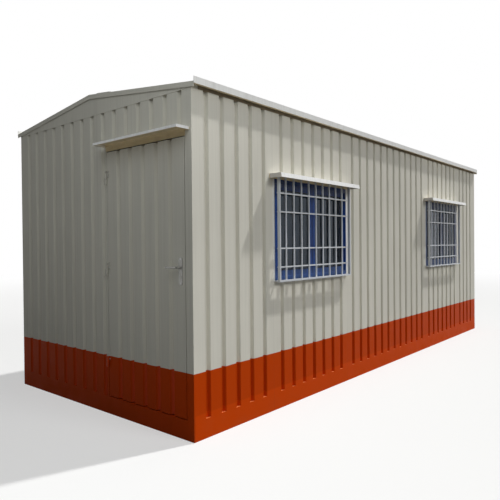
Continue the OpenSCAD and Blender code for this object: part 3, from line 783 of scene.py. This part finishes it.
# %% Screw the hinges and the lock
def screw_pair(x, y, z, step, inwards=False):
    """Two screws one above the other, on a face of the gable or the leaf."""
    return {
        "Along": 2, "Across": 1, "Along step": step, "Across step": 0.0,
        "Corner": Vector((x, y, z + step if inwards else z)),
        "Turn": (-math.pi / 2 if inwards else math.pi / 2, 0.0, 0.0),
    }


flag_y = -HALF_LENGTH - FLAG_T
rise = (HALF_HINGE - SCREW_STEP) / 2
pin_screws = [screw_pair(hinge_x - FLAG_MIDDLE, flag_y, z - HALF_HINGE + rise, SCREW_STEP) for z in hinge_heights]
sleeve_screws = [screw_pair(hinge_x + FLAG_MIDDLE, flag_y, z + rise, SCREW_STEP) for z in hinge_heights]

PLATE_T, PLATE_MIDDLE, PLATE_END = 0.004, 0.020, 0.016
lock_low, lock_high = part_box("door_lock")
leaf_low, leaf_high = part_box("door_leaf")
plate_x, plate_z = lock_high.x - PLATE_MIDDLE, lock_low.z + PLATE_END
plate_step = lock_high.z - lock_low.z - 2 * PLATE_END
plate_screws = [
    screw_pair(plate_x, leaf_low.y - PLATE_T, plate_z, plate_step),
    screw_pair(plate_x, leaf_high.y + PLATE_T, plate_z, plate_step, inwards=True),
]
grown("hinge_pin_screws", round_screw_rows, "cabin", pin_screws)
grown("door_screws", round_screw_rows, "door", sleeve_screws + plate_screws)

# %% [markdown]
# ## Flashing beside the windows
# A narrow strip of folded white sheet covers the joint between each window frame and the wall. It is a flat with a
# small raised hem, the same all the way up, so its outline is drawn once in plan and pulled up from the sill to the
# canopy. The strip on the other side is the outline turned round.

# %% Fold the flashings
FLASHING = ((0, 0), (0.020, 0), (0.020, 0.003), (0.0185, 0.003), (0.0185, 0.0013), (0, 0.0013))
CANOPY_GAP = 0.001


def folded_strip(mesh, x, y, side, foot, head):
    """Pulls the flashing's outline up from foot to head, at the wall plane x."""
    lower, upper = [
        [mesh.verts.new((x + out, y + side * along, z)) for along, out in FLASHING] for z in (foot, head)
    ]
    mesh.faces.new(lower)
    mesh.faces.new(upper)
    for side_face in zip(lower, lower[1:] + lower[:1], upper[1:] + upper[:1], upper):
        mesh.faces.new(side_face)


strips = bmesh.new()
for number in (1, 2):
    low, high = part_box(f"window_frame_{number}")
    foot, head = low.z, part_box(f"window_canopy_{number}")[0].z - CANOPY_GAP
    folded_strip(strips, high.x, low.y, 1, foot, head)
    folded_strip(strips, high.x, high.y, -1, foot, head)
bmesh.ops.recalc_face_normals(strips, faces=strips.faces)
flashing_mesh = bpy.data.meshes.new("window_flashings")
strips.to_mesh(flashing_mesh)
strips.free()
flashing_mesh.materials.append(trim_paint)
flashings = bpy.data.objects.new("window_flashings", flashing_mesh)
bpy.context.scene.collection.objects.link(flashings)
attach(flashings, "cabin")
print("flashings:", len(flashing_mesh.polygons), "faces")

# %% [markdown]
# ## Gaskets, seals and sealant
# Panes sit in gaskets, the door closes against seals, and the canopy is bedded in sealant. All three are a small
# round section swept along a path: a rectangle for a pane, a straight line for a side of the door. A bevelled curve
# would do as well, but a tree with named sizes serves every pane and every side.


# %% Gasket and strip fittings
def swept(fitting, path, radius):
    """A round bar along a path, with closed ends."""
    profile = fitting.node("GeometryNodeCurvePrimitiveCircle", sockets={"Resolution": 8, "Radius": radius})
    return fitting.node(
        "GeometryNodeCurveToMesh", sockets={"Curve": path, "Profile Curve": profile, "Fill Caps": True}
    )


def pane_gasket():
    fitting = Fitting("pane_gasket")
    width, height = fitting.named("Width"), fitting.named("Height")
    path = fitting.node("GeometryNodeCurvePrimitiveQuadrilateral", sockets={"Width": height, "Height": width})
    ring = swept(fitting, path, fitting.named("Radius"))
    centre = fitting.named("Centre", "Vector")
    upright = fitting.node(
        "GeometryNodeTransform",
        sockets={"Geometry": ring, "Rotation": (0.0, math.pi / 2, 0.0), "Translation": centre},
    )
    return fitting.close(upright, rubber)


def straight_strip(name, material):
    fitting = Fitting(name)
    path = fitting.node(
        "GeometryNodeCurvePrimitiveLine",
        sockets={"Start": fitting.named("Start", "Vector"), "End": fitting.named("End", "Vector")},
    )
    return fitting.close(swept(fitting, path, fitting.named("Radius")), material)


gasket = pane_gasket()
seal_strip = straight_strip("seal_strip", rubber)
sealant = straight_strip("sealant", ground_glow_steel)
print("strips ready:", [strip.tree.name for strip in (gasket, seal_strip, sealant)])

# %% [markdown]
# ## Gaskets round the panes
# A window leaf holds its pane in a rubber gasket, of which only the outer lip shows. The lip lies on the face of
# the pane and follows its edge, so its size comes from the box of the two panes, less the stiles that meet between
# them.

# %% Lay the gaskets
GASKET_R = 0.004
MEETING_STILES = 0.094
groups = []
for number in (1, 2):
    low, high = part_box(f"window_glass_{number}")
    width = (high.y - low.y - MEETING_STILES) / 2
    for y in (low.y + width / 2, high.y - width / 2):
        groups.append({
            "Width": width - 2 * GASKET_R, "Height": high.z - low.z - 2 * GASKET_R, "Radius": GASKET_R,
            "Centre": Vector((high.x + GASKET_R, y, (low.z + high.z) / 2)),
        })
grown("pane_gaskets", gasket, "cabin", groups)

# %% [markdown]
# ## Seals of the door
# Rubber strips on the door's stop and in the gap round the leaf keep rain and light out. Each set is three straight
# strips: up the hinge side, along the head and down the lock side. They stay with the frame when the door opens, so
# they ride on the cabin.

# %% Seal the door
SEAL_R, GAP_SEAL_R = 0.0024, 0.0026
STOP_LINE, STOP_DEPTH, GAP_DEPTH, SEAL_FOOT = 0.011, 0.044, 0.008, 0.02
HINGE_GAP, JAMB_FACE = 0.0035, 0.022
hinge_jamb, lock_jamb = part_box("door_jamb_hinge_side"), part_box("door_jamb_lock_side")
opening_x = (hinge_x - HINGE_GAP, lock_jamb[0].x + JAMB_FACE)


def door_strips(inset, y, foot, radius):
    """Three strips round the doorway: up the hinge side, along the head and down the lock side."""
    x0, x1, top = opening_x[0] + inset, opening_x[1] - inset, hinge_jamb[1].z - inset
    corners = [Vector((x, y, z)) for x, z in ((x0, foot), (x0, top), (x1, top), (x1, foot))]
    return [{"Start": a, "End": b, "Radius": radius} for a, b in zip(corners, corners[1:])]


foot, face = hinge_jamb[0].z + SEAL_FOOT, hinge_jamb[0].y
stop_strips = door_strips(STOP_LINE, face + STOP_DEPTH - SEAL_R, foot, SEAL_R)
gap_strips = door_strips(GAP_SEAL_R, face + GAP_DEPTH, foot, GAP_SEAL_R)
grown("door_seals", seal_strip, "cabin", stop_strips + gap_strips)

# %% [markdown]
# ## Sealant under the door canopy
# A bead of sealant closes the joint between the lintel and the foot of the canopy, or water would run in behind. It
# was painted with the lintel, so it takes the lintel's tan, painted light for the brown glow from the ground.

# %% Bed the canopy
SEALANT_R, SEALANT_PROUD = 0.0035, 0.001
low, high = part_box("door_head")
joint_z = (high.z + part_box("door_canopy")[0].z) / 2
start, end = [Vector((x, low.y - SEALANT_PROUD, joint_z)) for x in (low.x, high.x)]
grown("canopy_sealant", sealant, "cabin", [{"Start": start, "End": end, "Radius": SEALANT_R}])

# %% [markdown]
# ## Studio floor
# The cabin stands on a pale floor that keeps its shadow and runs out into white. A curved backdrop would also hide
# the horizon, but a flat floor that glows from a distance on is simpler. Only the rays that make the picture see it
# so pale: for the light that it throws back it is a duller grey, or the undersides would come out too bright.

# %% Floor
FLOOR_HALF, FLOOR_NEAR, FLOOR_FAR, FLOOR_DROP = 80.0, 7.0, 20.0, 0.001
FLOOR_GREY, FLOOR_WHITE = srgb(110, 110, 109), srgb(226, 226, 224)


def seen_directly(bench):
    """1 for rays from the camera and for those that glass and gloss send on."""
    kinds = ("Camera", "Glossy", "Transmission")
    camera_ray, glossy_ray, glass_ray = [bench.node("ShaderNodeLightPath", out=f"Is {kind} Ray") for kind in kinds]
    return camera_ray.higher(glossy_ray).higher(glass_ray)


def pale_floor():
    finish = Finish("pale_floor")
    far = finish.node("ShaderNodeVectorMath", {"operation": "LENGTH"}, {0: finish.place}, out="Value")
    seen = seen_directly(finish)
    white = seen * (far.step(FLOOR_NEAR, FLOOR_FAR) * 0.5 + 0.5)
    glow = finish.node("ShaderNodeEmission", sockets={"Color": (1, 1, 1, 1), "Strength": 1.0})
    matt = finish.node("ShaderNodeBsdfDiffuse", sockets={"Color": finish.mix(seen, FLOOR_GREY, FLOOR_WHITE)})
    both = finish.node("ShaderNodeMixShader", sockets={0: white, 1: matt, 2: glow})
    finish.feed(finish.tree.nodes["Material Output"].inputs["Surface"], both)
    return finish.material


floor_mesh = bpy.data.meshes.new("studio_floor")
corners = [(x * FLOOR_HALF, y * FLOOR_HALF, -FLOOR_DROP) for x, y in ((-1, -1), (1, -1), (1, 1), (-1, 1))]
floor_mesh.from_pydata(corners, [], [(0, 1, 2, 3)])
floor_mesh.materials.append(pale_floor())
floor = bpy.data.objects.new("studio_floor", floor_mesh)
bpy.context.scene.collection.objects.link(floor)
floor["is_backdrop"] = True
print("floor:", 2 * FLOOR_HALF, "m square, white from", FLOOR_FAR, "m on")

# %% [markdown]
# ## Light
# One lamp stands high behind the far end, as the daylight stood, and gives the shadows of the canopies. A weak and
# wide lamp beside the long wall softens them. A lit panel high before the gable stands in for the bright sky on
# that side: light that comes back from the floor alone would leave the grooves of the gable too dark.

# %% Lamps
KEY_LEVEL, SIDE_LEVEL = 1.0, 0.285
KEY_WAY, SIDE_WAY = (0.16, 0.45, 0.79), (1.0, 0.2, 0.55)


def lamp(name, towards, level, spread):
    """A distant lamp: the way to it, what it adds on a face that looks at it, and its width in degrees."""
    light = bpy.data.lights.new(name, "SUN")
    light.energy = math.pi * level
    light.angle = math.radians(spread)
    stand = bpy.data.objects.new(name, light)
    stand.rotation_mode = "QUATERNION"
    stand.rotation_quaternion = (-Vector(towards)).to_track_quat("-Z", "Y")
    bpy.context.scene.collection.objects.link(stand)


lamp("key_lamp", KEY_WAY, KEY_LEVEL, 2)
lamp("side_lamp", SIDE_WAY, SIDE_LEVEL, 20)
print("lamps: key at", KEY_LEVEL, "and side at", SIDE_LEVEL)

# %% Lit panel before the gable
PANEL_POWER, PANEL_SIDE, PANEL_TINT = 36.0, 3.0, (0.94, 0.985, 1.0)
PANEL_PLACE, PANEL_AIM = Vector((2.4, -5.1, 4.0)), Vector((0.0, -HALF_LENGTH, 1.8))
panel = bpy.data.lights.new("front_panel", "AREA")
panel.energy, panel.size, panel.color = PANEL_POWER, PANEL_SIDE, PANEL_TINT
stand = bpy.data.objects.new("front_panel", panel)
turn = (PANEL_AIM - PANEL_PLACE).to_track_quat("-Z", "Y").to_matrix().to_4x4()
stand.matrix_world = Matrix.Translation(PANEL_PLACE) @ turn
stand.visible_camera = False
bpy.context.scene.collection.objects.link(stand)
print("panel:", PANEL_POWER, "W from", [round(c, 1) for c in PANEL_PLACE])

# %% White surround
FILL_LEVEL = 0.06
world = bpy.data.worlds.new("studio")
world.use_nodes = True
bpy.context.scene.world = world
surround = Bench(world.node_tree)
level = seen_directly(surround) * (1 - FILL_LEVEL) + FILL_LEVEL
surround.feed(world.node_tree.nodes["Background"].inputs["Strength"], level)
world.node_tree.nodes["Background"].inputs["Color"].default_value = (1, 1, 1, 1)
bpy.context.scene.view_settings.view_transform = "Standard"
print("surround: white where it is seen, fill at", FILL_LEVEL)

# %% [markdown]
# ## Camera
# The camera stands where the photograph was taken. Its place, its angles and its lens were worked out from the
# cabin's corners, which is surer than turning a camera by hand until the two pictures agree.

# %% Camera
IMAGE_PX, FOCAL_PX = 500, 516.1
YAW, PITCH, ROLL = math.radians(-40.36), math.radians(-0.62), math.radians(-0.53)
EYE = Vector((3.806, -5.485, 1.363))
ahead = Vector((math.sin(YAW) * math.cos(PITCH), math.cos(YAW) * math.cos(PITCH), math.sin(PITCH)))
level_right = Vector((math.cos(YAW), -math.sin(YAW), 0))
level_up = level_right.cross(ahead)
camera_right = math.cos(ROLL) * level_right + math.sin(ROLL) * level_up
camera_up = math.cos(ROLL) * level_up - math.sin(ROLL) * level_right
camera = bpy.data.objects.new("camera", bpy.data.cameras.new("camera"))
camera.data.lens = camera.data.sensor_width * FOCAL_PX / IMAGE_PX
axes = Matrix((camera_right, camera_up, -ahead)).transposed()
camera.matrix_world = Matrix.Translation(EYE) @ axes.to_4x4()
bpy.context.scene.collection.objects.link(camera)
bpy.context.scene.camera = camera
print("camera at", [round(c, 2) for c in EYE], "lens", round(camera.data.lens, 2), "mm")

# %% [markdown]
# ## The dressed cabin's box
# The box of the dressed cabin is measured over every shown piece but the floor: dressing mustn't make the cabin
# bigger.

# %% Measure the dressed cabin
low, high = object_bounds()
